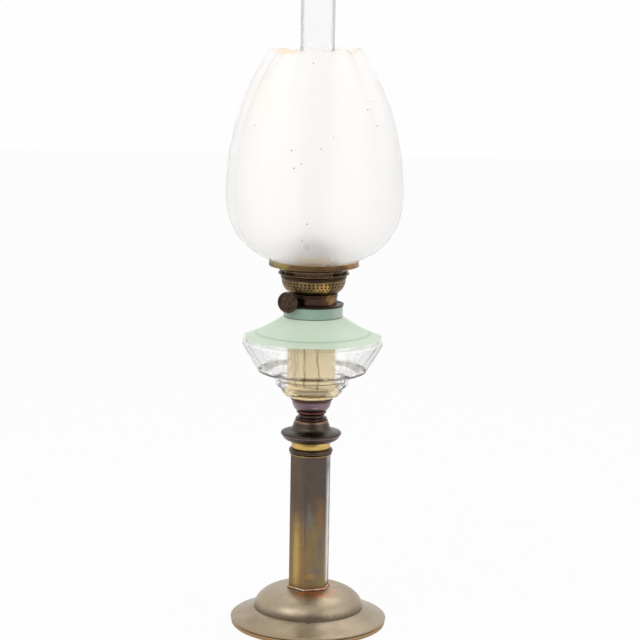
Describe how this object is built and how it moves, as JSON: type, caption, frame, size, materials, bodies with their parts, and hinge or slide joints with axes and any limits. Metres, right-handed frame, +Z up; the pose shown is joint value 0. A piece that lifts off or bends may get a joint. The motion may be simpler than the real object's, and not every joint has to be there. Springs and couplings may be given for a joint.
{
  "type": "kerosene lamp",
  "caption": "Table oil lamp: round domed foot, six-sided column, panelled glass font, round-wick burner with pierced basket, tall chimney and lobed tulip shade.",
  "frame": {"origin": "centre of the foot's underside, on the table", "axes": "+Z up along the lamp's axis, the front with the knob faces -Y, +X to the right seen from the front"},
  "size_m": [0.1995, 0.1997, 0.7184],
  "materials": {
    "aged_brass": "satin, dulled",
    "column_brass": "blotched heat tint",
    "dark_brass": "semi-gloss dark bronze patina",
    "gold_brass": "semi-gloss",
    "burner_brass": "dark brown patina",
    "ring_brass": "worn dark bronze",
    "tube_brass": "dull",
    "collar_paint": "satin grey green",
    "steel": "dull",
    "cast_iron": "rough",
    "plaster": "matte",
    "font_glass": "clear, pale green paint on the shoulder",
    "clear_glass": "clear",
    "frosted_glass": "frosted, warm white",
    "wick_cotton": "woven cotton with dark stripes"
  },
  "bodies": {
    "stand": {"base_shell": "aged_brass", "base_weight": "cast_iron", "rod_washer": "steel", "rod_nut": "steel", "tie_rod": "steel", "foot_collar": "column_brass", "column_tube": "column_brass", "column_foot_plug": "aged_brass", "column_head_plug": "aged_brass", "column_ring": "dark_brass", "neck_band": "gold_brass", "knop": "dark_brass", "waist_spool": "dark_brass", "font_cup": "dark_brass", "cup_nut": "steel", "cup_cement": "plaster", "font_glass": "font_glass", "collar_cement": "plaster", "font_collar": "collar_paint"},
    "burner": {"burner_thread": "burner_brass", "burner_neck": "burner_brass", "burner_basket": "burner_brass", "crown": "burner_brass", "wick_tube": "tube_brass", "draught_tube": "tube_brass", "spindle_gland": "burner_brass", "spindle_bearing": "tube_brass", "chimney_springs": "burner_brass", "shade_spider": "burner_brass", "shade_ring": "ring_brass"},
    "winder": {"spindle": "steel", "wick_wheels": "tube_brass", "wick_knob": "burner_brass"},
    "wick": {"wick": "wick_cotton"},
    "chimney": {"chimney": "clear_glass"},
    "shade": {"shade": "frosted_glass"}
  },
  "joints": [
    {"name": "burner_turn", "type": "hinge", "parent": "stand", "child": "burner", "pos_m": [0, 0, 0.3738], "axis": [0, 0, 1], "range_deg": [0, 360]},
    {"name": "winder_turn", "type": "hinge", "parent": "burner", "child": "winder", "pos_m": [-0.01391, 0.00562, 0.381], "axis": [-0.3746, -0.9272, 0], "range_deg": [0, 223]},
    {"name": "wick_raise", "type": "slide", "parent": "burner", "child": "wick", "axis": [0, 0, 1], "range_m": [0, 0.014]},
    {"name": "chimney_lift", "type": "slide", "parent": "burner", "child": "chimney", "axis": [0, 0, 1], "range_m": [0, 0.26]},
    {"name": "shade_lift", "type": "slide", "parent": "burner", "child": "shade", "axis": [0, 0, 1], "range_m": [0, 0.31]}
  ],
  "couplings": [
    {"joint": "winder_turn", "follows": "wick_raise", "rad_per_m": 277.78}
  ]
}
